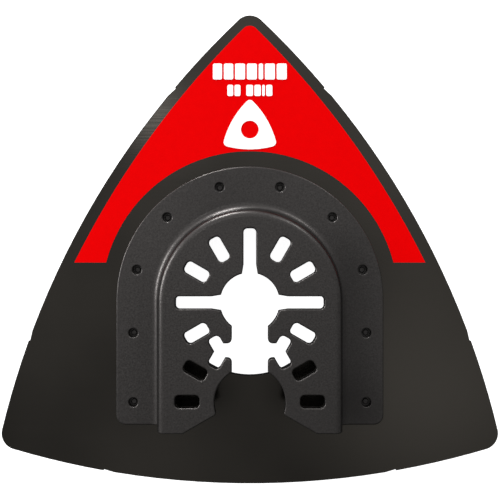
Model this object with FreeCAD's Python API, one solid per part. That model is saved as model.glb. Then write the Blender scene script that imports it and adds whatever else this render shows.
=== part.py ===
import FreeCAD, Part
import math
import os

# Triangular sanding plate for an oscillating multi-tool, in millimetres.
# Two steel stampings are welded together: a flat triangular backing plate and a raised, slotted hub that
# the tool clamps. Coarse carbide grit is brazed to the plate's other side, and one corner carries a print.
# Origin: where the hub's axis meets the plane that the grit works on. +Z points to the tool, +Y to a corner.

# ---- driving dimensions ----

# heights, from the working plane up
GRIT_STAND = 0.9          # grains stand out of the braze by this much
BRAZE_T = 0.3             # braze layer
PLATE_T = 1.2             # backing plate
SHEET_T = 1.2             # hub sheet
HUB_RISE = 4.6            # hub's top above the flange's top
INK_T = 0.05              # one coat of printing ink

# plate outline: three bulged sides and three round corners, alike every 120 degrees
SIDE_MID = 31.19          # hub axis to the middle of a side
SIDE_R = 141.1            # radius of a bulged side
CORNER_R = 2.8
PLATE_HOLE_R = 12.93
EDGE_BREAK = 0.12         # rounded edges on the plate's upper face
NICK_AT = 23.9            # nick's middle, measured along a side from the side's middle
NICK_LENGTH = 1.9
NICK_DEPTH = 0.24

# hub flange and raised horseshoe
FLANGE_R = 22.4
HUB_FOOT_Y = -20.9       # straight lower end of the flange and of both legs
FLANGE_CORNER_R = 1.65
RAISED_R = 14.98          # outside of the raised wall
WALL_DRAFT = 0.08         # the wall leans in by this much at its top
FOOT_FILLET = 1.4         # concave, where the wall leaves the flange
TOP_FILLET = 1.2          # convex, where the wall meets the top
INNER_TOP_FILLET = 0.3
RIM_BREAK = 0.3           # rounded upper edge of the flange
PUNCH_BREAK = 0.25        # rounded upper edges of the punched openings and of the foot

# hub openings, in the plane of its top
BORE_R = 4.77
SLOT_W = 2.0
LONG_SLOT_END = 11.86     # hub axis to the end of a long slot
LONG_SLOT_END_R = 0.62
FLARE_START = 6.1         # a long slot widens from here towards the bore
FLARE_RATE = 0.165        # widening of each side per mm
PIN_SLOT_L = 4.1
PIN_SLOT_END_R = 0.7      # rounded corners at both ends of a pin slot
PIN_SLOT_REACH = 11.85    # hub axis to the outer end of a pin slot
PIN_DIRECTIONS = (30, 60, 120, 150, 210, 330)
CROSSING_DIRECTIONS = (240, 300)
CROSSING_L = 3.25         # the crossing slots stop short towards the bore
MIRROR_Y = -7.91          # the slot pattern is repeated, mirrored, below this line
MIRRORED_L = 3.83         # the pin slots of the mirrored pattern are a little shorter
MIRRORED_REACH = 11.95
MOUTH_HALF_W = 2.88
THROAT_TOP_Y = -6.49      # horizontal cut that joins the crossing slots
THROAT_FOOT_Y = -8.85
THROAT_HALF_W = 4.9
TIP_R = 0.75
RELIEF_R = 5.66           # round relief between the legs
RELIEF_Y = -15.95
LEG_CORNER_Y = -17.82     # where the relief meets the leg's slanted end
LEG_CHAMFER_X = 10.68     # where the leg's slanted end meets its foot
LEG_SLOT_X = 10.0
LEG_SLOT_L = 3.9
LEG_SLOT_Y = -15.75
LEG_CORNER_R = 0.45

# welds
WELD_R = 0.75
WELD_PITCH_R = 19.55
WELD_DIRECTIONS = (15, 45, 75, 105, 135, 165)
WELD_SIDE_X = 19.5
WELD_SIDE_YS = (-5.5, -17.1)
WELD_DEPTH = 0.4          # how far a weld reaches into the plate
WELD_FILL = 0.45          # how far it rises in the flange's hole
WELD_RIM_BREAK = 0.22     # rounded upper edge of the hole
BUTTON_R = 0.52           # low button in the middle of a weld
BUTTON_TOP_R = 0.36
BUTTON_H = 0.14

# grit and braze
GRIT_MARGIN = 0.6         # bare rim outside the braze
GRIT_HOLE_R = 14.0

# print
PRINT_SIDE_MID = 29.17    # hub axis to the middle of the red panel's side
PRINT_SIDE_R = 148.3
PRINT_CORNER_R = 1.5
PRINT_HOLE_R = 25.12
PRINT_FOOT_Y = 6.27
TITLE_Y = 38.6            # middle of the upper row of marks
TITLE_HEIGHT = 2.7
TITLE_WIDTHS = (1.55, 1.6, 1.7, 1.7, 0.75, 1.7, 1.7)
TITLE_GAP = 0.30
SUBTITLE_Y = 35.4
SUBTITLE_HEIGHT = 1.9
SUBTITLE_WIDTHS = (1.0, 1.0, -0.55, 1.15, 1.1, 0.45, 1.05)
SUBTITLE_GAP = 0.22
MARK_R = 0.28             # rounded corners of the marks
EMBLEM_Y = 28.78          # centre of the pictogram
EMBLEM_SIDE_MID = 3.35
EMBLEM_SIDE_R = 15.2
EMBLEM_CORNER_R = 0.75
EMBLEM_HOLE_R = 1.5

# ---- derived heights ----

BRAZE_Z = GRIT_STAND
PLATE_Z = BRAZE_Z + BRAZE_T
PLATE_TOP = PLATE_Z + PLATE_T
FLANGE_TOP = PLATE_TOP + SHEET_T
HUB_TOP = FLANGE_TOP + HUB_RISE
UP = FreeCAD.Vector(0, 0, 1)
ORIGIN = FreeCAD.Vector(0, 0, 0)


# ---- outlines ----

def at(x, y, z=0.0):
    return FreeCAD.Vector(x, y, z)


def ring(edges):
    """A flat face inside a closed chain of edges."""
    return Part.Face(Part.Wire(Part.__sortEdges__(edges)))


def prism(face, z_low, z_high):
    raised = face.copy()
    raised.translate(at(0, 0, z_low))
    return raised.extrude(at(0, 0, z_high - z_low))


def rounded(corners):
    """A polygon with rounded corners. Each corner is x, y and its radius, which may be 0."""
    entries = []
    for i, (x, y, r) in enumerate(corners):
        here = at(x, y)
        before = (at(*corners[i - 1][:2]) - here).normalize()
        after = (at(*corners[(i + 1) % len(corners)][:2]) - here).normalize()
        half = before.getAngle(after) / 2
        reach = r / math.tan(half) if r else 0
        middle = (before + after).normalize() * (r / math.sin(half) - r) if r else at(0, 0)
        entries.append((here + before * reach, here + middle, here + after * reach, r))
    edges = []
    for i, (start, middle, end, r) in enumerate(entries):
        if r:
            edges.append(Part.Arc(start, middle, end).toShape())
        next_start = entries[(i + 1) % len(entries)][0]
        if (next_start - end).Length > 1e-6:
            edges.append(Part.LineSegment(end, next_start).toShape())
    return ring(edges)


def block(length, width, corner_r, x, y, turn=0):
    """A rounded rectangle centred at x, y, its length turned by the given angle from +X."""
    a, b = length / 2, width / 2
    face = rounded([(-a, -b, corner_r), (a, -b, corner_r), (a, b, corner_r), (-a, b, corner_r)])
    face.rotate(ORIGIN, UP, turn)
    face.translate(at(x, y))
    return face


def bulged_triangle(side_mid, side_r, corner_r):
    """Three arcs for the sides and three for the corners, with one corner towards +Y."""
    back = side_r - side_mid
    reach = -back / 2 + math.sqrt((side_r - corner_r) ** 2 - 0.75 * back ** 2)
    edges = []
    for turn in (0, 120, 240):
        axis = math.radians(90 + turn)
        corner = at(reach * math.cos(axis), reach * math.sin(axis))
        ends = []
        for side in (-60, 60):
            normal = axis + math.radians(side)
            side_centre = at(-back * math.cos(normal), -back * math.sin(normal))
            ends.append(side_centre + (corner - side_centre).normalize() * side_r)
        tip = at((reach + corner_r) * math.cos(axis), (reach + corner_r) * math.sin(axis))
        edges.append(Part.Arc(ends[0], tip, ends[1]).toShape())
        normal = axis + math.radians(60)
        middle = at(side_mid * math.cos(normal), side_mid * math.sin(normal))
        next_axis = axis + math.radians(120)
        next_corner = at(reach * math.cos(next_axis), reach * math.sin(next_axis))
        side_centre = at(-back * math.cos(normal), -back * math.sin(normal))
        far_end = side_centre + (next_corner - side_centre).normalize() * side_r
        edges.append(Part.Arc(ends[1], middle, far_end).toShape())
    return ring(edges)


def disc(radius, x=0.0, y=0.0):
    return ring([Part.Circle(at(x, y), UP, radius).toShape()])


def rounded_edges(shape, radius, wanted):
    """The shape with the edges that the test accepts rounded."""
    return shape.makeFillet(radius, [e for e in shape.Edges if wanted(e)])


def lies_at(z):
    return lambda e: abs(e.BoundBox.ZMin - z) < 1e-4 and abs(e.BoundBox.ZMax - z) < 1e-4


# ---- backing plate ----

def nick_cutter(side_turn, hand):
    """A shallow nick in a side: a step at the end nearer the corner, a slope at the other end."""
    step = SIDE_R - NICK_DEPTH
    high = SIDE_R + 1
    swing = hand * NICK_LENGTH / 2 / SIDE_R
    slope = [(step, swing), (high, swing), (high, -swing), (SIDE_R, -swing)]
    points = [at(r * math.sin(a), r * math.cos(a)) for r, a in slope]
    cutter = prism(ring([Part.LineSegment(p, q).toShape() for p, q in zip(points, points[1:] + points[:1])]),
                   PLATE_Z - 1, PLATE_TOP + 1)
    cutter.rotate(ORIGIN, UP, -hand * math.degrees(math.asin(NICK_AT / SIDE_R)))
    cutter.translate(at(0, SIDE_MID - SIDE_R))
    cutter.rotate(ORIGIN, UP, side_turn)
    return cutter


def weld_places():
    """The ten weld centres: six round the hub's head, two on each straight side."""
    places = [(WELD_PITCH_R * math.cos(math.radians(d)), WELD_PITCH_R * math.sin(math.radians(d)))
              for d in WELD_DIRECTIONS]
    return places + [(x, y) for x in (-WELD_SIDE_X, WELD_SIDE_X) for y in WELD_SIDE_YS]


def make_plate():
    plate = prism(bulged_triangle(SIDE_MID, SIDE_R, CORNER_R), PLATE_Z, PLATE_TOP)
    for side_turn in (60, 180, 300):
        for hand in (-1, 1):
            plate = plate.cut(nick_cutter(side_turn, hand))
    plate = plate.cut(prism(disc(PLATE_HOLE_R), PLATE_Z - 1, PLATE_TOP + 1))
    plate = rounded_edges(plate, EDGE_BREAK, lies_at(PLATE_TOP))
    for x, y in weld_places():
        plate = plate.cut(prism(disc(WELD_R, x, y), PLATE_TOP - WELD_DEPTH, PLATE_TOP + 1))
    return plate


# ---- hub ----

def raised_section():
    """Half of the raised sheet's section, from the axis out to where the flange starts, in the XZ plane."""
    lean = RAISED_R - WALL_DRAFT
    foot_x = RAISED_R + FOOT_FILLET
    foot_z = FLANGE_TOP + FOOT_FILLET
    inner_foot_r = FOOT_FILLET + SHEET_T
    inner_wall_x = foot_x - inner_foot_r
    inner_top_z = HUB_TOP - SHEET_T
    inner_lean = inner_wall_x - WALL_DRAFT
    slant = math.sqrt(0.5)

    def bend(x, z, r, side, start, end):
        return Part.Arc(start, at(x + side * r * slant, 0, z + side * r * slant), end).toShape()

    points = [
        at(0, 0, HUB_TOP), at(lean - TOP_FILLET, 0, HUB_TOP),
        at(lean, 0, HUB_TOP - TOP_FILLET), at(RAISED_R, 0, foot_z),
        at(foot_x, 0, FLANGE_TOP), at(foot_x, 0, PLATE_TOP),
        at(inner_wall_x, 0, foot_z), at(inner_lean, 0, inner_top_z - INNER_TOP_FILLET),
        at(inner_lean - INNER_TOP_FILLET, 0, inner_top_z), at(0, 0, inner_top_z)]
    edges = [Part.LineSegment(points[a], points[b]).toShape()
             for a, b in ((0, 1), (2, 3), (4, 5), (6, 7), (8, 9), (9, 0))]
    edges.append(bend(lean - TOP_FILLET, HUB_TOP - TOP_FILLET, TOP_FILLET, 1, points[1], points[2]))
    edges.append(bend(foot_x, foot_z, FOOT_FILLET, -1, points[3], points[4]))
    edges.append(bend(foot_x, foot_z, inner_foot_r, -1, points[5], points[6]))
    edges.append(bend(inner_lean - INNER_TOP_FILLET, inner_top_z - INNER_TOP_FILLET, INNER_TOP_FILLET, 1,
                      points[7], points[8]))
    return ring(edges)


def raised_sheet():
    """The raised horseshoe before punching: half a turn of the section, then its straight legs."""
    section = raised_section()
    run = at(0, HUB_FOOT_Y, 0)
    legs = [section.extrude(run), section.mirror(ORIGIN, at(1, 0, 0)).extrude(run)]
    return section.revolve(ORIGIN, UP, 180).fuse(legs).removeSplitter()


def horseshoe(radius, foot_y, corner_r, z_low, z_high):
    """A solid with half a disc for its head and a rectangle with two rounded corners below it."""
    head = ring([Part.Arc(at(radius, 0), at(0, radius), at(-radius, 0)).toShape(),
                 Part.LineSegment(at(-radius, 0), at(radius, 0)).toShape()])
    legs = rounded([(-radius, 0, 0), (-radius, foot_y, corner_r), (radius, foot_y, corner_r), (radius, 0, 0)])
    return prism(head, z_low, z_high).fuse(prism(legs, z_low, z_high)).removeSplitter()


def flange():
    """The flat rim round the raised horseshoe, with its upper outer edge rounded."""
    sheet = horseshoe(FLANGE_R, HUB_FOOT_Y, FLANGE_CORNER_R, PLATE_TOP, FLANGE_TOP)
    sheet = rounded_edges(sheet, RIM_BREAK, lies_at(FLANGE_TOP))
    inside = horseshoe(RAISED_R + FOOT_FILLET, HUB_FOOT_Y - 1, 0, PLATE_TOP - 1, FLANGE_TOP + 1)
    return sheet.cut(inside)


def long_slot():
    """A long slot towards +Y that widens where it meets the bore."""
    half = SLOT_W / 2
    wide = half + FLARE_RATE * FLARE_START
    return rounded([(-wide, 0, 0), (-half, FLARE_START, 1.0), (-half, LONG_SLOT_END, LONG_SLOT_END_R),
                    (half, LONG_SLOT_END, LONG_SLOT_END_R), (half, FLARE_START, 1.0), (wide, 0, 0)])


def pin_slot(direction, length=PIN_SLOT_L, reach=PIN_SLOT_REACH):
    """A radial slot, given by its direction, its length and the radius of its outer end."""
    middle = reach - length / 2
    x = middle * math.cos(math.radians(direction))
    y = middle * math.sin(math.radians(direction))
    return block(length, SLOT_W, PIN_SLOT_END_R, x, y, direction)


def mirrored_down(face):
    return face.mirror(at(0, MIRROR_Y), at(0, 1, 0))


def leg_corner_x():
    """Half the width of the relief where the legs' slanted ends start."""
    return math.sqrt(RELIEF_R ** 2 - (LEG_CORNER_Y - RELIEF_Y) ** 2)


def hub_opening_faces():
    """Every outline that is punched out of the hub's top."""
    faces = [disc(BORE_R), disc(RELIEF_R, 0, RELIEF_Y)]
    for turn in (0, 90, 270):
        slot = long_slot()
        slot.rotate(ORIGIN, UP, turn)
        faces.append(slot)
    crossing = [pin_slot(d, CROSSING_L) for d in CROSSING_DIRECTIONS]
    faces += [pin_slot(d) for d in PIN_DIRECTIONS] + crossing
    lower = [pin_slot(d, MIRRORED_L, MIRRORED_REACH) for d in (210, 330)]
    faces += [mirrored_down(face) for face in lower + crossing]
    faces += [block(LEG_SLOT_L, SLOT_W, PIN_SLOT_END_R, side * LEG_SLOT_X, LEG_SLOT_Y) for side in (-1, 1)]
    faces.append(block(2 * MOUTH_HALF_W, -RELIEF_Y, 0, 0, RELIEF_Y / 2))
    throat_y = (THROAT_TOP_Y + THROAT_FOOT_Y) / 2
    faces.append(block(2 * THROAT_HALF_W, THROAT_TOP_Y - THROAT_FOOT_Y, 0, 0, throat_y))
    x = leg_corner_x()
    slope = (HUB_FOOT_Y - LEG_CORNER_Y) / (LEG_CHAMFER_X - x)
    past = LEG_CHAMFER_X + 3
    past_y = LEG_CORNER_Y + slope * (past - x)
    corners = [(-x, LEG_CORNER_Y, 0), (-past, past_y, 0), (past, past_y, 0), (x, LEG_CORNER_Y, 0)]
    faces.append(rounded(corners))
    return faces


def hub_openings():
    """The punched openings as one tool, with its sharp inner corners rounded."""
    low = PLATE_TOP + SHEET_T + 1
    high = HUB_TOP + 1
    bodies = [prism(face, low, high) for face in hub_opening_faces()]
    tool = bodies[0].fuse(bodies[1:]).removeSplitter()

    def upright_at(x, y):
        return lambda e: (e.BoundBox.ZLength > 1 and abs(abs(e.CenterOfMass.x) - x) < 0.02
                          and abs(e.CenterOfMass.y - y) < 0.02)

    tool = rounded_edges(tool, TIP_R, upright_at(MOUTH_HALF_W, THROAT_TOP_Y))
    tool = rounded_edges(tool, TIP_R, upright_at(MOUTH_HALF_W, THROAT_FOOT_Y))
    return rounded_edges(tool, LEG_CORNER_R, upright_at(leg_corner_x(), LEG_CORNER_Y))


def make_hub():
    hub = raised_sheet().fuse(flange()).removeSplitter().cut(hub_openings())
    seam = RAISED_R - WALL_DRAFT - TOP_FILLET

    def punched_edge(e):
        middle = e.valueAt((e.FirstParameter + e.LastParameter) / 2)
        outward = math.hypot(middle.x, middle.y) if middle.y > 0 else abs(middle.x)
        return lies_at(HUB_TOP)(e) and outward < seam - 1e-3 and middle.y > HUB_FOOT_Y + 1e-3

    hub = rounded_edges(hub, PUNCH_BREAK, punched_edge)
    for x, y in weld_places():
        hub = hub.cut(prism(disc(WELD_R, x, y), PLATE_TOP - 1, FLANGE_TOP + 1))

    def weld_rim(e):
        return lies_at(FLANGE_TOP)(e) and e.BoundBox.XLength < 2 * WELD_R + 1e-3 and e.isClosed()

    hub = rounded_edges(hub, WELD_RIM_BREAK, weld_rim)

    def foot_edge(e):
        middle = e.valueAt((e.FirstParameter + e.LastParameter) / 2)
        return lies_at(HUB_TOP)(e) and abs(middle.y - HUB_FOOT_Y) < 1e-3 and abs(middle.x) > LEG_CHAMFER_X

    return rounded_edges(hub, PUNCH_BREAK, foot_edge)


def make_welds():
    """Ten plugs that reach into the plate and fill the flange's holes part of the way, each with a button."""
    welds = []
    for x, y in weld_places():
        low = PLATE_TOP - WELD_DEPTH
        high = PLATE_TOP + WELD_FILL - BUTTON_H
        plug = Part.makeCylinder(WELD_R, high - low, at(x, y, low))
        button = Part.makeCone(BUTTON_R, BUTTON_TOP_R, BUTTON_H, at(x, y, high))
        welds.append(plug.fuse(button))
    return Part.makeCompound(welds)


# ---- working side ----

def grit_layer(z_low, z_high):
    outer = bulged_triangle(SIDE_MID - GRIT_MARGIN, SIDE_R - GRIT_MARGIN, CORNER_R - GRIT_MARGIN)
    return prism(outer, z_low, z_high).cut(prism(disc(GRIT_HOLE_R), z_low - 1, z_high + 1))


# ---- print ----

def make_red_print():
    outer = bulged_triangle(PRINT_SIDE_MID, PRINT_SIDE_R, PRINT_CORNER_R)
    panel = prism(outer, PLATE_TOP, PLATE_TOP + INK_T)
    panel = panel.cut(prism(disc(PRINT_HOLE_R), PLATE_TOP - 1, PLATE_TOP + 1))
    span = 4 * SIDE_MID
    return panel.cut(Part.makeBox(span, span, 2, at(-span / 2, PRINT_FOOT_Y - span, PLATE_TOP - 1)))


def mark_row(widths, gap, height, y):
    """A row of plain blocks. A negative width is a wider space."""
    total = sum(abs(w) for w in widths) + gap * (len(widths) - 1)
    x = -total / 2
    faces = []
    for w in widths:
        if w > 0:
            faces.append(block(w, height, min(MARK_R, 0.45 * w), x + w / 2, y))
        x += abs(w) + gap
    return faces


def emblem():
    """A plain pictogram of a three-cornered plate with a round hole."""
    face = bulged_triangle(EMBLEM_SIDE_MID, EMBLEM_SIDE_R, EMBLEM_CORNER_R)
    face = face.cut(disc(EMBLEM_HOLE_R)).Faces[0]
    face.translate(at(0, EMBLEM_Y))
    return face


def make_white_print():
    low = PLATE_TOP + INK_T
    faces = mark_row(TITLE_WIDTHS, TITLE_GAP, TITLE_HEIGHT, TITLE_Y)
    faces += mark_row(SUBTITLE_WIDTHS, SUBTITLE_GAP, SUBTITLE_HEIGHT, SUBTITLE_Y)
    faces.append(emblem())
    return Part.makeCompound([prism(face, low, low + INK_T) for face in faces])


# ---- write one STEP per piece ----

os.makedirs("parts", exist_ok=True)
pieces = {
    "sanding_plate": make_plate(),
    "mounting_hub": make_hub(),
    "weld_nuggets": make_welds(),
    "braze_coat": grit_layer(BRAZE_Z, PLATE_Z),
    "carbide_grit": grit_layer(0, BRAZE_Z),
    "red_print": make_red_print(),
    "white_print": make_white_print(),
}
for name, shape in pieces.items():
    print(name, "valid" if shape.isValid() else "NOT VALID", len(shape.Solids), "solids",
          round(shape.Volume, 1), "mm3", shape.BoundBox)
    shape.exportStep(os.path.join("parts", name + ".step"))
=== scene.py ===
"""The looks of a carbide-grit sanding plate for an oscillating multi-tool.

The pressed hub, the plate, the welds and the two print layers are the CAD pieces with their own
materials. The abrasive face is built here: crushed carbide grains set in a coat of braze metal.
All lengths are metres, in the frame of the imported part.
"""
import math
import random

import bmesh
import bpy
from mathutils import Matrix, Vector, noise
from mathutils.bvhtree import BVHTree
from mathutils.geometry import delaunay_2d_cdt


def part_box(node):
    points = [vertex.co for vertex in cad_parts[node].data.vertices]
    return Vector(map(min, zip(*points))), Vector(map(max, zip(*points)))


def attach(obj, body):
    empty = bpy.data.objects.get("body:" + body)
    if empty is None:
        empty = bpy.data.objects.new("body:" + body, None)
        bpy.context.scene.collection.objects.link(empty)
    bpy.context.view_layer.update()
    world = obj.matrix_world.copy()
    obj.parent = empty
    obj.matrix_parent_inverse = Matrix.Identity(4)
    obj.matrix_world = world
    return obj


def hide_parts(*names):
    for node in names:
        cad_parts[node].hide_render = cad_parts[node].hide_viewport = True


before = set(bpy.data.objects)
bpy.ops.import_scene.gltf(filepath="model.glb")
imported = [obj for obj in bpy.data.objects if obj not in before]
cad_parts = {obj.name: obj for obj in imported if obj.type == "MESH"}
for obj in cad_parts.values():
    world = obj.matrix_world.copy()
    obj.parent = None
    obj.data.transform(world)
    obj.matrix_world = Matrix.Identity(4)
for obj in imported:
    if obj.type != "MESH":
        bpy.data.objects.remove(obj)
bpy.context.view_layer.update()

MM = 0.001

# The camera looks straight down, a hand's breadth above the part.
CAMERA_PLACE = Vector((0.03, 8.39, 95.1)) * MM
CAMERA_LENS = 39.40
CAMERA_SENSOR = 36.0
CAMERA_NEAREST = 0.005
CAMERA_FURTHEST = 50.0

# The table and the white wall round it, in metres, and how bright the table is.
FLOOR_RADIUS = 3.0
BACKDROP_HEIGHT = 2.0
FLOOR_SIDES = 96
FLOOR_GLOW = 0.95
FLOOR_WHITE = 0.60

# The sky: its level at right angles to its bright side, how much brighter it is on that side, the
# faintest that it gets above the horizon, and its level below.
BRIGHT_SIDE = 108         # degrees round from +X
SKY_LEVEL = 0.76
SKY_SLOPE = 0.72
SKY_FAINTEST = 0.17
SKY_BELOW = 0.03
HORIZON_BLUR = 0.03

# The softboxes: four low ones for the hub's bends, and a small high one for a sheen on the plate.
LIGHT_DISTANCE = 0.8
LOW_LIGHT = 45            # softboxes lower than this leave no glare on the flat plate
# name, azimuth from +X, elevation, width, height, radiance
SOFTBOXES = (
    ("key_left", 167, 27, 0.34, 0.18, 23.0),
    ("key_back", 107, 7, 0.20, 0.13, 74.0),
    ("fill_right", 57, 30, 0.18, 0.18, 9.5),
    ("glow_left", 140, 12, 0.30, 0.14, 2.5),
    ("sheen", 125.0, 71, 0.05, 0.05, 17.0),
)

# Red, green and blue of the two coats, as shares of their level.
PLATE_TINT = (1.10, 1.0, 0.86)
HUB_TINT = (1.07, 1.0, 0.97)

# The levels of the plate's steel, with the brightest for its painted sheen and light and the
# darkest for its painted shade.
PLATE_DARK = 0.0182
PLATE_LIGHT = 0.0260
PLATE_BRIGHTEST = 0.073
PLATE_DARKEST = 0.006

# The levels of the hub's coat and of the welds, with HUB_SHADED and HUB_DARKEST for the hub's
# painted shade.
HUB_DARK = 0.030
HUB_LIGHT = 0.058
HUB_DRIFT = 0.046
HUB_SHADED = 0.021
HUB_DARKEST = 0.006
WELD_DARK = 0.022
WELD_LIGHT = 0.036

# The punched edges lie in the highest part of the hub, above this band, and their steep faces get
# painted shade.
PUNCHED_FROM = 7.55 * MM
PUNCHED_FULL = 7.75 * MM

# The two reds, and the near-black painted shade on the edge walls of the printed panel.
RED_DEEP = (0.625, 0.0, 0.0006, 1)
RED_LIGHT = (0.655, 0.0, 0.0006, 1)
RED_EDGE_SHADE = (0.03, 0.0, 0.0, 1)

FLUX_STAIN = (0.13, 0.085, 0.05, 1)

# Noise seldom leaves the middle of its 0 to 1 range: how much of it a blend spreads over.
WIDE = (0.3, 0.7)
NARROW = (0.35, 0.65)

# Where painted sheen lightens the plate, and painted light in the hub's leg slots: x and y in mm,
# radius, strength.
PAINTED_SHEEN = (
    (32, -17, 33, 0.78),
    (30, 12, 20, 0.22),
    (22, 27, 26, 0.38),
    (0, 46, 24, 0.33),
    (0, 24, 14, 0.12),
    (-14, -30, 26, 0.28),
    (-30, -3, 20, 0.16),
    (-17, 14, 12, 0.10),
    # painted light on the plate seen through the hub's leg slots
    (10.3, -13.6, 6, 1.0),
    (-10.3, -13.6, 6, 1.0),
)

# Where painted shade darkens the plate, in the two corners of the hub's mouth beside its legs: x
# and y in mm, radius, strength.
PAINTED_MOUTH_SHADE = (
    (-6.2, -15.3, 6.5, 0.60),
    (6.2, -15.3, 6.5, 0.60),
)

# Where painted shade darkens the hub's coat: beyond its round end, by its right foot, and on the
# strips of flange along both sides of its wall, which shades them. x and y in mm, radius, strength.
PAINTED_HUB_SHADE = (
    (-5, 19, 16, 0.42),
    (18, -19, 12, 0.50),
    *((16.2, y, 8, 0.55) for y in (-18, -13, -8, -3, 2, 7)),
    *((-17.5, y, 6, 0.35) for y in (-18, -13, -8, -3, 2)),
)

# The abrasive: 20 grit, so grains about a millimetre across.
SEED = 20
GRAIN_SIZE = 1.02 * MM
GRAIN_PITCH = 1.22 * MM
GRAIN_SPREAD = 0.12       # how far a grain's size may be from the usual, as a share
GRAIN_JITTER = 0.20       # of the pitch
GRAIN_ROOM = 0.62         # kept free to the edge, of the size
GRAIN_FORMS = 28
GRAIN_CORNERS = 13
CORNER_REACH = (0.72, 1.0)
CORNER_TURN = 0.45
FLATTENED = (0.8, 1.1)
HEIGHTENED = (0.85, 1.15)
TIP_RANGE = 0.28          # how far tips stay above the lowest, of the size

FINE_SIZE = 0.42 * MM
FINE_PITCH = 1.05 * MM
FINE_SPREAD = 0.35
FINE_JITTER = 0.45
FINE_ROOM = 0.6
FINE_DROP = 0.65          # how far fine grains hang below the braze, of their size

# The braze: its thickness is a base, a wave and a climb up each grain, as shares of the coat.
BRAZE_PITCH = 0.30 * MM
BRAZE_JITTER = 0.2
BRAZE_ROOM = 0.55
BRAZE_BASE = 0.30
BRAZE_WAVE = 0.25
BRAZE_CLIMB = 0.55
CLIMB_POWER = 0.8
WAVE_LENGTH = 2.2 * MM
MENISCUS_REACH = 0.75 * MM      # how far round a grain the braze is drawn up

EDGE_TRIES = 8            # directions in which the room to an outline is tested
WELDED_DIGITS = 7         # mesh corners that agree to so many digits are one
FLAT = 1e-6               # a corner this close to the lowest level lies in it, in metres
CDT_INSIDE = 1            # the triangulation's output: triangles inside the constraints
CDT_NEARNESS = 1e-8


# ---------------------------------------------------------------- shader node helpers

# A colour mix has its factor, its two colours and its result in these sockets.
MIX_FACTOR, MIX_A, MIX_B, MIX_RESULT = 0, 6, 7, 2


def node(tree, kind, inputs=None, output=0, **settings):
    """Adds a node, sets or links its inputs, and returns one output socket."""
    made = tree.nodes.new(kind)
    for name, value in settings.items():
        setattr(made, name, value)
    for name, value in (inputs or {}).items():
        if isinstance(value, bpy.types.NodeSocket):
            tree.links.new(value, made.inputs[name])
        else:
            made.inputs[name].default_value = value
    return made.outputs[output]


def calc(tree, operation, a, b=0.0, c=0.0):
    return node(tree, "ShaderNodeMath", {0: a, 1: b, 2: c}, operation=operation)


def weighed(tree, a, share, b):
    """The sum of a and b, with the given share of a."""
    rest = round(1.0 - share, 6)
    return calc(tree, "ADD", calc(tree, "MULTIPLY", a, share), calc(tree, "MULTIPLY", b, rest))


def blend_colour(tree, factor, a, b):
    sockets = {MIX_FACTOR: factor, MIX_A: a, MIX_B: b}
    return node(tree, "ShaderNodeMix", sockets, output=MIX_RESULT, data_type="RGBA")


def remap(tree, value, low, high, to_low=0.0, to_high=1.0, kind="LINEAR"):
    """A value from low to high becomes one from to_low to to_high, held at both ends."""
    sockets = {0: value, 1: low, 2: high, 3: to_low, 4: to_high}
    return node(tree, "ShaderNodeMapRange", sockets, interpolation_type=kind)


def place(tree):
    return node(tree, "ShaderNodeTexCoord", output="Object")


def height(tree):
    return node(tree, "ShaderNodeSeparateXYZ", {0: place(tree)}, output="Z")


def upright(tree):
    """How far a surface faces up, from 0 on a wall to 1 on a level face."""
    normal = node(tree, "ShaderNodeNewGeometry", output="Normal")
    return node(tree, "ShaderNodeSeparateXYZ", {0: normal}, output="Z")


def cloud(tree, scale, detail=2.0, roughness=0.5, vector=None):
    """Noise with so many lumps to the metre."""
    sockets = {
        "Vector": vector or place(tree),
        "Scale": scale,
        "Detail": detail,
        "Roughness": roughness,
    }
    return node(tree, "ShaderNodeTexNoise", sockets)


def brush_lines(tree, along, across, detail=2.0, roughness=0.5):
    """Noise drawn out along X: so many lumps to the metre along the lines and across them."""
    sockets = {"Vector": place(tree), "Scale": (along, across, along)}
    stretched = node(tree, "ShaderNodeMapping", sockets)
    return cloud(tree, 1.0, detail, roughness, stretched)


def bumped(tree, relief, depth):
    """A bump of the given depth in metres, for a relief from 0 to 1."""
    sockets = {"Height": relief, "Strength": 1.0, "Distance": depth}
    return node(tree, "ShaderNodeBump", sockets)


def patch(tree, x, y, radius):
    """1 at a place on the plate, in mm, falling to 0 at the radius."""
    spot = {0: place(tree), 1: (x * MM, y * MM, 0.0)}
    away = node(tree, "ShaderNodeVectorMath", spot, output="Value", operation="DISTANCE")
    return remap(tree, away, 0.0, radius * MM, 1.0, 0.0, "SMOOTHSTEP")


def patches(tree, spots):
    """The sum of weighted patches, given as x, y, radius and weight."""
    total = 0.0
    for x, y, radius, weight in spots:
        total = calc(tree, "MULTIPLY_ADD", patch(tree, x, y, radius), weight, total)
    return total


def grey(value, warmth=0.0):
    """A neutral or slightly warm colour, linear."""
    return (value * (1 + warmth), value, value * (1 - 2 * warmth), 1.0)


def tint(value, ratios):
    """A grey of the given level with its red, green and blue in the given ratios."""
    return tuple(value * r for r in ratios) + (1.0,)


def material(name, build):
    """A material whose Principled inputs are what build(tree) returns."""
    made = bpy.data.materials.new(name)
    made.use_nodes = True
    tree = made.node_tree
    tree.nodes.clear()
    shader = node(tree, "ShaderNodeBsdfPrincipled", build(tree))
    shown = tree.nodes.new("ShaderNodeOutputMaterial")
    tree.links.new(shader, shown.inputs["Surface"])
    return made


# ---------------------------------------------------------------- materials

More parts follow.
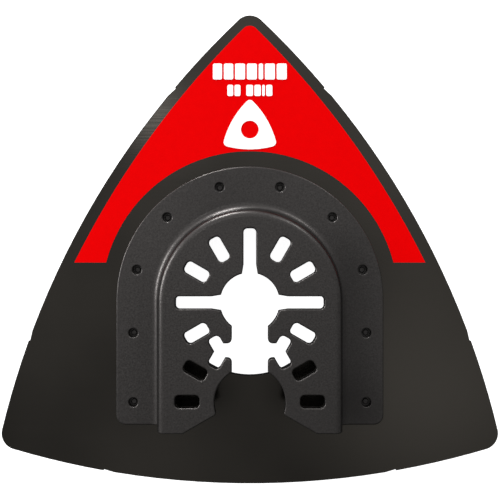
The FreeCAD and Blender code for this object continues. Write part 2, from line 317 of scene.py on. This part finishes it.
def plate_coat(tree):
    """Dark rolled steel: brush lines along X, cloudy tone, patches of painted sheen and light,
    painted shade in the mouth's corners and on cut edges.
    """
    lines = brush_lines(tree, along=60, across=5200)
    fine_lines = brush_lines(tree, along=120, across=9500, detail=1.0)
    clouds = cloud(tree, 55.0)
    brush = weighed(tree, lines, 0.7, fine_lines)
    tone = weighed(tree, brush, 0.25, clouds)
    dark, light = tint(PLATE_DARK, PLATE_TINT), tint(PLATE_LIGHT, PLATE_TINT)
    brightest, darkest = tint(PLATE_BRIGHTEST, PLATE_TINT), tint(PLATE_DARKEST, PLATE_TINT)
    # painted shade on the steep faces of the plate's cut edges
    cut_edge_shade = remap(tree, upright(tree), low=0.75, high=0.98, to_low=0.75, to_high=0.0)
    colour = blend_colour(tree, remap(tree, tone, *NARROW), dark, light)
    # painted sheen in patches, and painted light in the leg slots
    colour = blend_colour(tree, patches(tree, PAINTED_SHEEN), colour, brightest)
    # painted shade in the corners of the hub's mouth
    colour = blend_colour(tree, patches(tree, PAINTED_MOUTH_SHADE), colour, darkest)
    colour = blend_colour(tree, cut_edge_shade, colour, darkest)
    return {
        "Base Color": colour,
        "Metallic": 0.9,
        "Roughness": remap(tree, brush, *NARROW, 0.225, 0.165),
        "Specular IOR Level": 0.5,
        "Normal": bumped(tree, brush, 0.0035 * MM),
    }


def hub_coat(tree):
    """Grey powder coat with a fine metallic grain, with painted shade on parts of the flange and on
    the punched edges of the top.
    """
    grain = cloud(tree, 3400.0, roughness=0.6)
    flecks = cloud(tree, 6500.0, detail=1.0)
    drift = cloud(tree, 60.0)
    tone = weighed(tree, grain, 0.6, flecks)
    dark, light = tint(HUB_DARK, HUB_TINT), tint(HUB_LIGHT, HUB_TINT)
    # painted shade on the steep faces of the punched edges in the top
    steep = remap(tree, upright(tree), low=0.30, high=0.75, to_low=0.85, to_high=0.0)
    punched = remap(tree, height(tree), PUNCHED_FROM, PUNCHED_FULL, 0.0, steep)
    drifting = remap(tree, drift, *WIDE, to_high=0.3)
    colour = blend_colour(tree, remap(tree, tone, *NARROW), dark, light)
    colour = blend_colour(tree, drifting, colour, tint(HUB_DRIFT, HUB_TINT))
    # painted shade on the flange beside the wall and at the hub's ends
    colour = blend_colour(tree, patches(tree, PAINTED_HUB_SHADE), colour, tint(HUB_SHADED, HUB_TINT))
    # painted shade on the punched edges
    colour = blend_colour(tree, punched, colour, tint(HUB_DARKEST, HUB_TINT))
    return {
        "Base Color": colour,
        "Metallic": 0.9,
        "Roughness": remap(tree, tone, *WIDE, 0.36, 0.30),
        "Specular IOR Level": 0.4,
        "Normal": bumped(tree, tone, 0.009 * MM),
    }


def weld_metal(tree):
    """Melted spots under the same coat: darker, with a ripple."""
    ripple = cloud(tree, 2600.0, detail=3.0, roughness=0.6)
    dark, light = tint(WELD_DARK, HUB_TINT), tint(WELD_LIGHT, HUB_TINT)
    return {
        "Base Color": blend_colour(tree, remap(tree, ripple, *WIDE), dark, light),
        "Metallic": 0.8,
        "Roughness": remap(tree, ripple, *WIDE, 0.55, 0.42),
        "Normal": bumped(tree, ripple, 0.008 * MM),
    }


def red_ink(tree):
    """Screen-printed red: dense and matt, with the plate's brush lines showing faintly."""
    lines = brush_lines(tree, along=45, across=2600, detail=3.0, roughness=0.7)
    mottle = cloud(tree, 900.0, detail=3.0, roughness=0.6)
    # painted shade on the steep edge walls of the ink
    edge = remap(tree, upright(tree), low=0.3, high=0.9, to_low=0.85, to_high=0.0)
    colour = blend_colour(tree, remap(tree, mottle, *WIDE), RED_DEEP, RED_LIGHT)
    return {
        "Base Color": blend_colour(tree, edge, colour, RED_EDGE_SHADE),
        "Roughness": remap(tree, mottle, *WIDE, 0.62, 0.52),
        "Specular IOR Level": 0.012,
        "Normal": bumped(tree, lines, 0.001 * MM),
    }


def white_ink(tree):
    """Screen-printed white over the red."""
    mottle = cloud(tree, 1100.0, detail=3.0, roughness=0.6)
    return {
        "Base Color": blend_colour(tree, remap(tree, mottle, *WIDE), grey(0.90), grey(0.95)),
        "Roughness": remap(tree, mottle, *WIDE, 0.6, 0.5),
        "Normal": bumped(tree, mottle, 0.002 * MM),
    }


def braze(tree):
    """Nickel braze: dull silver with flux stains and pits."""
    pits = cloud(tree, 2400.0, detail=3.0, roughness=0.65)
    stains = cloud(tree, 130.0, detail=3.0, roughness=0.6)
    stained = remap(tree, stains, low=0.45, high=0.7, to_high=0.7)
    clean = blend_colour(tree, remap(tree, pits, *WIDE), grey(0.16, 0.04), grey(0.30, 0.05))
    return {
        "Base Color": blend_colour(tree, stained, clean, FLUX_STAIN),
        "Metallic": 0.9,
        "Roughness": remap(tree, pits, *WIDE, 0.5, 0.3),
        "Normal": bumped(tree, pits, 0.02 * MM),
    }


def grit(tree):
    """Crushed tungsten carbide: dark steely facets, each grain a little different."""
    speckle = cloud(tree, 4200.0, detail=3.0, roughness=0.7)
    cells = {"Vector": place(tree), "Scale": 700.0}
    each = node(tree, "ShaderNodeTexVoronoi", cells, output="Color")
    value = node(tree, "ShaderNodeSeparateColor", {"Color": each})
    facets = blend_colour(tree, value, grey(0.10, 0.02), grey(0.24, 0.01))
    glint = remap(tree, speckle, low=0.35, high=0.7, to_high=0.5)
    return {
        "Base Color": blend_colour(tree, glint, facets, grey(0.34)),
        "Metallic": 0.95,
        "Roughness": remap(tree, speckle, *WIDE, 0.22, 0.46),
        "Normal": bumped(tree, speckle, 0.012 * MM),
    }


def floor_white(tree):
    """A plain pale table that is faintly lit from beneath."""
    drift = cloud(tree, 3.0)
    return {
        "Base Color": blend_colour(tree, drift, grey(FLOOR_WHITE), grey(FLOOR_WHITE * 1.02)),
        "Roughness": 0.9,
        "Specular IOR Level": 0.0,
        "Emission Color": grey(1.0),
        "Emission Strength": FLOOR_GLOW,
    }


def backdrop_white(tree):
    """An even white, the same as the table's."""
    return {
        "Base Color": grey(0.0),
        "Specular IOR Level": 0.0,
        "Roughness": 1.0,
        "Emission Color": grey(1.0),
        "Emission Strength": 1.0,
    }


def dress(node_name, made):
    """Puts a material on every slot of a CAD piece."""
    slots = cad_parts[node_name].data.materials
    for i in range(len(slots)):
        slots[i] = made


# ---------------------------------------------------------------- the abrasive face

def added(name, data):
    """A new object with the given data, in the scene."""
    made = bpy.data.objects.new(name, data)
    bpy.context.scene.collection.objects.link(made)
    return made


def mesh_piece(name, points, faces, made):
    data = bpy.data.meshes.new(name)
    data.from_pydata(points, [], faces)
    data.materials.append(made)
    data.update()
    return added(name, data)


def footprint(node_name):
    """A test for points (x, y) that lie inside a CAD node's outline, with some room to its edge."""
    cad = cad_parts[node_name].data
    tree = BVHTree.FromPolygons([v.co for v in cad.vertices], [p.vertices for p in cad.polygons])
    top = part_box(node_name)[1].z + MM
    down = Vector((0, 0, -1))
    turns = (math.tau * i / EDGE_TRIES for i in range(EDGE_TRIES))
    ring = [Matrix.Rotation(turn, 2) @ Vector((1, 0)) for turn in turns]

    def inside(x, y, room=0.0):
        if tree.ray_cast(Vector((x, y, top)), down)[0] is None:
            return False
        tries = (Vector((x + room * d.x, y + room * d.y, top)) for d in ring)
        return room == 0.0 or all(tree.ray_cast(t, down)[0] is not None for t in tries)

    return inside


def scattered(inside, pitch, jitter, room, draw):
    """Jittered triangular lattice points over the footprint."""
    low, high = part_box("carbide_grit")
    row_step = pitch * math.sqrt(3) / 2
    points = []
    for row in range(int((high.y - low.y) / row_step) + 1):
        shift = pitch / 2 if row % 2 else 0.0
        for column in range(int((high.x - low.x) / pitch) + 2):
            x = low.x + column * pitch - shift + draw.uniform(-jitter, jitter)
            y = low.y + row * row_step + draw.uniform(-jitter, jitter)
            if inside(x, y, room):
                points.append((x, y))
    return points


def hull_form(draw, corners):
    """A unit-sized crushed grain: the hull of a few uneven points."""
    form = bmesh.new()
    golden = math.pi * (3 - math.sqrt(5))
    for i in range(corners):
        z = 1 - 2 * (i + 0.5) / corners
        reach = draw.uniform(*CORNER_REACH)
        across = math.sqrt(1 - z * z)
        turn = golden * i + draw.uniform(-CORNER_TURN, CORNER_TURN)
        form.verts.new(Vector((math.cos(turn) * across, math.sin(turn) * across, z)) * reach)
    bmesh.ops.convex_hull(form, input=form.verts)
    loose = [v for v in form.verts if not v.link_faces]
    bmesh.ops.delete(form, geom=loose, context="VERTS")
    bmesh.ops.recalc_face_normals(form, faces=form.faces)
    form.verts.index_update()
    points = [v.co.copy() for v in form.verts]
    faces = [[v.index for v in f.verts] for f in form.faces]
    form.free()
    return points, faces


def turned(draw):
    """A turn by any angle about any axis."""
    axis = Vector((draw.gauss(0, 1), draw.gauss(0, 1), draw.gauss(0, 1))).normalized()
    return Matrix.Rotation(draw.uniform(0, math.tau), 3, axis)


def grains(places, size, spread, forms, low, high, draw):
    """Points and faces of one grain at each place. Each tip is at low or a little above it."""
    points = []
    faces = []
    for x, y in places:
        form_points, form_faces = draw.choice(forms)
        scale = size / 2 * draw.uniform(1 - spread, 1 + spread)
        squash = Vector((
            draw.uniform(*FLATTENED), draw.uniform(*FLATTENED), draw.uniform(*HEIGHTENED)))
        spin = turned(draw)
        squashed = (Vector((p.x * squash.x, p.y * squash.y, p.z * squash.z)) for p in form_points)
        grain = [spin @ p * scale for p in squashed]
        tip = low + draw.random() ** 2 * TIP_RANGE * size
        lift = tip - min(p.z for p in grain)
        base = len(points)
        points += [(p.x + x, p.y + y, min(p.z + lift, high)) for p in grain]
        faces += [[base + i for i in face] for face in form_faces]
    return points, faces


def build_grit(made):
    """Grains as one piece, with finer ones between them. Returns where the large ones are."""
    draw = random.Random(SEED)
    inside = footprint("carbide_grit")
    forms = [hull_form(draw, GRAIN_CORNERS) for _ in range(GRAIN_FORMS)]
    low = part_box("carbide_grit")[0].z
    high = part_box("braze_coat")[1].z
    places = scattered(
        inside, GRAIN_PITCH, GRAIN_JITTER * GRAIN_PITCH, GRAIN_ROOM * GRAIN_SIZE, draw)
    points, faces = grains(places, GRAIN_SIZE, GRAIN_SPREAD, forms, low, high, draw)
    between = scattered(
        inside, FINE_PITCH, FINE_JITTER * FINE_PITCH, FINE_ROOM * FINE_SIZE, draw)
    fine_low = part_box("carbide_grit")[1].z - FINE_DROP * FINE_SIZE
    fine_points, fine_faces = grains(between, FINE_SIZE, FINE_SPREAD, forms, fine_low, high, draw)
    base = len(points)
    points += fine_points
    faces += [[base + i for i in face] for face in fine_faces]
    piece = mesh_piece("carbide_grains", points, faces, made)
    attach(piece, "root")
    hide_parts("carbide_grit")
    return places


def sides_of(corners):
    """The directed edges of a closed run of corners."""
    return list(zip(corners, corners[1:] + corners[:1]))


def open_sides(faces):
    """The directed edges that only one of the faces has, in the order of the faces."""
    uses = dict.fromkeys(side for face in faces for side in sides_of(face))
    return [(a, b) for a, b in uses if (b, a) not in uses]


def outline_loops(node_name):
    """The closed loops of a flat CAD node's lower face, as lists of (x, y)."""
    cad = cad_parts[node_name].data
    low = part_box(node_name)[0].z
    keys = {}
    ids = []
    for vertex in cad.vertices:
        key = tuple(round(value, WELDED_DIGITS) for value in vertex.co)
        ids.append(keys.setdefault(key, len(keys)))
    spot = {i: v.co for i, v in zip(ids, cad.vertices)}
    faces = ([ids[i] for i in polygon.vertices] for polygon in cad.polygons)
    lower = [face for face in faces if max(spot[i].z for i in face) <= low + FLAT]
    follow = dict(open_sides(lower))
    loops = []
    while follow:
        start = next(iter(follow))
        loop = [start]
        after = follow.pop(start)
        while after != start:
            loop.append(after)
            after = follow.pop(after)
        loops.append([(spot[i].x, spot[i].y) for i in loop])
    return loops


def braze_sheet(inside, draw):
    """The braze coat's footprint as flat points and triangles, true to its outline."""
    loops = outline_loops("braze_coat")
    edge_points = [Vector(p) for loop in loops for p in loop]
    edges = []
    start = 0
    for loop in loops:
        edges += sides_of(list(range(start, start + len(loop))))
        start += len(loop)
    spread = scattered(
        inside, BRAZE_PITCH, BRAZE_JITTER * BRAZE_PITCH, BRAZE_ROOM * BRAZE_PITCH, draw)
    inner = [Vector(p) for p in spread]
    points, _, triangles, *_ = delaunay_2d_cdt(
        edge_points + inner, edges, [], CDT_INSIDE, CDT_NEARNESS)
    kept = []
    for triangle in triangles:
        middle = sum((points[i] for i in triangle), Vector((0, 0))) / len(triangle)
        if inside(middle.x, middle.y):
            kept.append(list(triangle))
    return points, kept


def build_braze(made, grain_places):
    """The braze coat: flat where it meets the plate, wavy below, drawn up round each grain."""
    low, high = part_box("braze_coat")
    flat_points, kept = braze_sheet(footprint("braze_coat"), random.Random(SEED + 1))
    cell = MENISCUS_REACH
    near = {}
    for x, y in grain_places:
        near.setdefault((int(x // cell), int(y // cell)), []).append((x, y))

    def surface(p):
        """How far the braze hangs below the plate at a point, from 0 to 1."""
        wave = 0.5 + 0.5 * noise.noise(Vector((p.x, p.y, 0)) / WAVE_LENGTH)
        column, row = int(p.x // cell), int(p.y // cell)
        nearest = cell
        for i in range(column - 1, column + 2):
            for j in range(row - 1, row + 2):
                for x, y in near.get((i, j), ()):
                    nearest = min(nearest, math.hypot(p.x - x, p.y - y))
        climb = (1 - nearest / cell) ** CLIMB_POWER if nearest < cell else 0.0
        return min(1.0, BRAZE_BASE + BRAZE_WAVE * wave + BRAZE_CLIMB * climb)

    count = len(flat_points)
    thick = high.z - low.z
    below = [(p.x, p.y, high.z - thick * surface(p)) for p in flat_points]
    above = [(p.x, p.y, high.z) for p in flat_points]
    facing_down = []
    for a, b, c in kept:
        turn = (flat_points[b] - flat_points[a]).cross(flat_points[c] - flat_points[a])
        facing_down.append([a, c, b] if turn > 0 else [a, b, c])
    walls = [[b, a, a + count, b + count] for a, b in open_sides(facing_down)]
    lid = [[c + count, b + count, a + count] for a, b, c in facing_down]
    piece = mesh_piece("braze_bed", below + above, facing_down + lid + walls, made)
    for polygon in piece.data.polygons[:len(facing_down)]:
        polygon.use_smooth = True
    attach(piece, "root")
    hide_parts("braze_coat")


# ---------------------------------------------------------------- studio

def direction(azimuth, elevation=0.0):
    """A unit vector, from degrees round from +X and degrees above the floor."""
    turn = math.radians(azimuth)
    rise = math.radians(elevation)
    level = math.cos(rise)
    return Vector((math.cos(turn) * level, math.sin(turn) * level, math.sin(rise)))


def all_but(node_name):
    """A receiver group for lights that leave out one CAD piece."""
    group = bpy.data.collections.new("glare_free")
    group.objects.link(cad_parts[node_name])
    group.collection_objects[0].light_linking.link_state = "EXCLUDE"
    return group


def softbox(name, azimuth, elevation, width, height, radiance, glare_free):
    """A rectangular light that faces the part. A low one lights only what glare_free allows."""
    light = bpy.data.lights.new(name, "AREA")
    light.shape = "RECTANGLE"
    light.size = width
    light.size_y = height
    light.energy = radiance * math.pi * width * height
    lamp = added(name, light)
    lamp.location = direction(azimuth, elevation) * LIGHT_DISTANCE
    lamp.rotation_mode = "QUATERNION"
    lamp.rotation_quaternion = (-lamp.location).to_track_quat("-Z", "Y")
    if elevation < LOW_LIGHT:
        lamp.light_linking.receiver_collection = glare_free


def build_floor():
    """A pale table, and a white wall all round it that only the camera sees."""
    ring = [math.tau * i / FLOOR_SIDES for i in range(FLOOR_SIDES)]
    low = [(FLOOR_RADIUS * math.cos(t), FLOOR_RADIUS * math.sin(t), 0.0) for t in ring]
    high = [(x, y, BACKDROP_HEIGHT) for x, y, _ in low]
    corners = list(range(FLOOR_SIDES))
    walls = [[a, b, b + FLOOR_SIDES, a + FLOOR_SIDES] for a, b in sides_of(corners)]
    floor = mesh_piece("floor", low, [corners], material("floor_white", floor_white))
    backdrop = mesh_piece("backdrop", low + high, walls, material("backdrop_white", backdrop_white))
    floor.visible_glossy = False
    backdrop.visible_glossy = False
    backdrop.visible_diffuse = False
    backdrop.visible_shadow = False


def build_sky():
    """A sky whose brightness grows evenly towards one side and is dark below the horizon."""
    world = bpy.data.worlds.new("studio")
    bpy.context.scene.world = world
    world.use_nodes = True
    tree = world.node_tree
    tree.nodes.clear()
    way = node(tree, "ShaderNodeTexCoord", output="Generated")
    ends = {0: way, 1: direction(BRIGHT_SIDE)}
    toward = node(tree, "ShaderNodeVectorMath", ends, output="Value", operation="DOT_PRODUCT")
    up = node(tree, "ShaderNodeSeparateXYZ", {0: way}, output="Z")
    faintest = (SKY_FAINTEST - SKY_LEVEL) / SKY_SLOPE
    glow = remap(tree, toward, faintest, 1.0, SKY_FAINTEST, SKY_LEVEL + SKY_SLOPE)
    strength = remap(tree, up, -HORIZON_BLUR, HORIZON_BLUR, SKY_BELOW, glow)
    shown = node(tree, "ShaderNodeBackground", {"Color": grey(1.0), "Strength": strength})
    out = tree.nodes.new("ShaderNodeOutputWorld")
    tree.links.new(shown, out.inputs["Surface"])


def build_camera():
    data = bpy.data.cameras.new("camera")
    data.lens = CAMERA_LENS
    data.sensor_width = CAMERA_SENSOR
    data.clip_start = CAMERA_NEAREST
    data.clip_end = CAMERA_FURTHEST
    camera = added("camera", data)
    camera.location = CAMERA_PLACE
    bpy.context.scene.camera = camera


# ---------------------------------------------------------------- the scene

dress("sanding_plate", material("plate_coat_steel", plate_coat))
dress("mounting_hub", material("hub_coat_powder", hub_coat))
dress("weld_nuggets", material("weld_metal_spots", weld_metal))
dress("red_print", material("red_ink_matt", red_ink))
dress("white_print", material("white_ink_matt", white_ink))
grain_places = build_grit(material("grit_carbide", grit))
build_braze(material("braze_nickel", braze), grain_places)
build_floor()
build_sky()
glare_free = all_but("sanding_plate")
for softbox_values in SOFTBOXES:
    softbox(*softbox_values, glare_free)
build_camera()
bpy.context.scene.view_settings.view_transform = "Standard"
